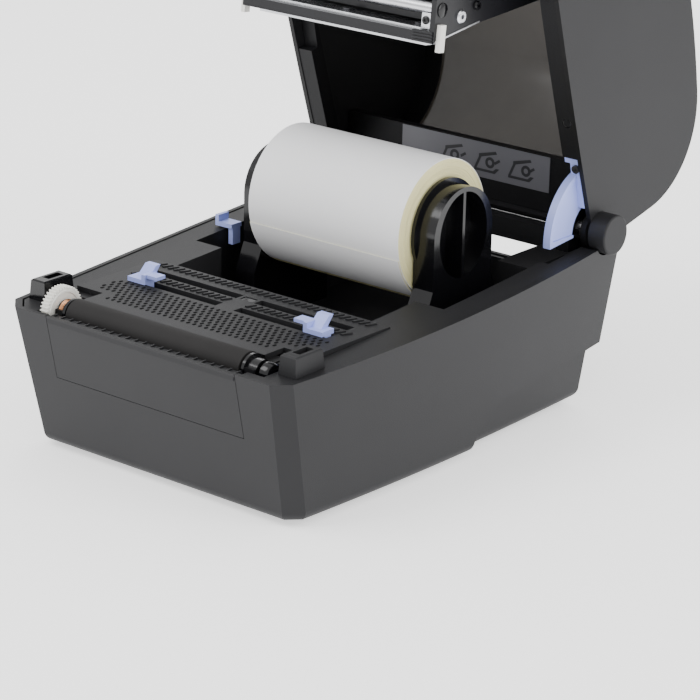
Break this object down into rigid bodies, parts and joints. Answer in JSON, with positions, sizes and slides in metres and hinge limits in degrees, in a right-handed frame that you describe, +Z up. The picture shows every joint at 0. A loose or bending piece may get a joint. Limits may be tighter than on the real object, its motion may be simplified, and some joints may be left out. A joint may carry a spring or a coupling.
{
  "type": "thermal label printer",
  "caption": "Desktop thermal transfer label printer, clamshell lid raised on a rear hinge, with folding print module, platen roller, centring roll holders and a loaded label roll.",
  "frame": {"origin": "centre of the footprint of the whole printer with its lid open, on the surface that it stands on", "axes": "+Z up, the front (label mouth) faces -Y, +X is to the right for somebody who looks along +Y from the front"},
  "size_m": [0.207, 0.3368, 0.3415],
  "materials": {
    "case": "satin textured charcoal",
    "inner": "satin black",
    "gloss": "gloss black",
    "rubber": "matt",
    "blue": "satin pastel blue",
    "nylon": "satin white nylon",
    "steel": "bright",
    "dark_steel": "gloss black",
    "alu": "satin",
    "window": "smoked clear",
    "paper": "satin paper",
    "card": "brown card",
    "sticker": "satin",
    "board": "satin",
    "light": "clear"
  },
  "bodies": {
    "base": {"bottom_case": "case", "case_screws": "steel", "rubber_feet": "rubber", "front_panel": "case", "deck_cover": "case", "latch_post_left": "gloss", "latch_post_right": "inner", "platen_bush_left": "gloss", "platen_bush_right": "gloss", "platen_carrier": "inner", "stepper_motor": "steel", "gear_train_plate": "steel", "media_platform": "inner", "guide_rail": "dark_steel", "gap_sensor": "gloss", "main_board": "board", "dc_socket": "gloss", "usb_socket": "steel", "switch_bezel": "gloss", "hinge_brackets": "inner", "hinge_pins": "steel"},
    "platen": {"platen_roller": "rubber", "platen_shaft": "steel", "platen_gear": "nylon"},
    "idler": {"idler_gear": "nylon"},
    "motor_rotor": {"motor_pinion": "nylon", "motor_shaft": "steel"},
    "guide_left": {"paper_guide_left": "blue"},
    "guide_right": {"paper_guide_right": "blue"},
    "holder_left": {"roll_holder_left": "gloss", "holder_rack_left": "inner"},
    "holder_right": {"roll_holder_right": "gloss", "holder_rack_right": "inner"},
    "centring_pinion": {"holder_pinion": "nylon"},
    "lock_lever": {"holder_lock": "blue"},
    "roll": {"label_roll": "paper", "roll_core": "card"},
    "rocker": {"power_switch": "gloss"},
    "lid": {"lid_shell": "case", "lid_window": "window", "lid_frame": "inner", "lid_rear_panel": "inner", "instruction_sticker": "sticker", "hinge_cap_left": "case", "hinge_cap_right": "case", "lid_stay": "blue", "stay_screw": "dark_steel", "module_pivot_rod": "steel", "pivot_arms": "inner", "status_lights": "light"},
    "button": {"feed_button": "gloss"},
    "print_module": {"module_frame": "gloss", "head_bracket": "alu", "print_head": "alu", "tension_bar": "steel", "module_hooks": "nylon", "head_screws": "dark_steel"},
    "supply_spindle": {"ribbon_supply_spindle": "inner"},
    "takeup_spindle": {"ribbon_takeup_spindle": "inner"}
  },
  "joints": [
    {"name": "lid_hinge", "type": "hinge", "parent": "base", "child": "lid", "pos_m": [0, 0.083, 0.0975], "axis": [1, 0, 0], "range_deg": [0, 77]},
    {"name": "module_fold", "type": "hinge", "parent": "lid", "child": "print_module", "pos_m": [0, 0.08025, 0.24055], "axis": [1, 0, 0], "range_deg": [-71.2, 0]},
    {"name": "supply_spin", "type": "hinge", "parent": "print_module", "child": "supply_spindle", "pos_m": [0, 0.05795, 0.23887], "axis": [1, 0, 0], "continuous": true},
    {"name": "takeup_spin", "type": "hinge", "parent": "print_module", "child": "takeup_spindle", "pos_m": [0, 0.01965, 0.23324], "axis": [1, 0, 0], "continuous": true},
    {"name": "feed_press", "type": "slide", "parent": "lid", "child": "button", "axis": [0, -0.9744, -0.225], "range_m": [0, 0.001], "stiffness_N_per_m": 600, "springref_m": -0.0006},
    {"name": "platen_spin", "type": "hinge", "parent": "base", "child": "platen", "pos_m": [0, -0.1505, 0.0754], "axis": [1, 0, 0], "continuous": true},
    {"name": "idler_spin", "type": "hinge", "parent": "base", "child": "idler", "pos_m": [-0.068, -0.13667, 0.05564], "axis": [1, 0, 0], "continuous": true},
    {"name": "motor_spin", "type": "hinge", "parent": "base", "child": "motor_rotor", "pos_m": [-0.068, -0.12618, 0.04314], "axis": [1, 0, 0], "continuous": true},
    {"name": "guide_left_slide", "type": "slide", "parent": "base", "child": "guide_left", "axis": [-1, 0, 0], "range_m": [-0.038, 0.001]},
    {"name": "guide_right_slide", "type": "slide", "parent": "base", "child": "guide_right", "axis": [1, 0, 0], "range_m": [-0.038, 0.001]},
    {"name": "holder_left_slide", "type": "slide", "parent": "base", "child": "holder_left", "axis": [-1, 0, 0], "range_m": [0, 0.008]},
    {"name": "holder_right_slide", "type": "slide", "parent": "base", "child": "holder_right", "axis": [1, 0, 0], "range_m": [0, 0.008]},
    {"name": "centring_spin", "type": "hinge", "parent": "base", "child": "centring_pinion", "pos_m": [0, 0.005, 0.0337], "axis": [0, 0, 1], "range_deg": [-50, 2]},
    {"name": "lock_slide", "type": "slide", "parent": "base", "child": "lock_lever", "axis": [0, 1, 0], "range_m": [0, 0.006]},
    {"name": "roll_spin", "type": "hinge", "parent": "base", "child": "roll", "pos_m": [0, 0.005, 0.108], "axis": [1, 0, 0], "continuous": true},
    {"name": "rocker_tip", "type": "hinge", "parent": "base", "child": "rocker", "pos_m": [0.062, 0.08147, 0.022], "axis": [0, 0, 1], "range_deg": [-20, 0]}
  ],
  "couplings": [
    {"joint": "module_fold", "follows": "lid_hinge", "ratio": -0.92208},
    {"joint": "idler_spin", "follows": "platen_spin", "ratio": -1},
    {"joint": "motor_spin", "follows": "platen_spin", "ratio": 2.8571},
    {"joint": "guide_right_slide", "follows": "guide_left_slide", "ratio": 1},
    {"joint": "holder_right_slide", "follows": "holder_left_slide", "ratio": 1},
    {"joint": "centring_spin", "follows": "holder_left_slide", "rad_per_m": -100}
  ]
}
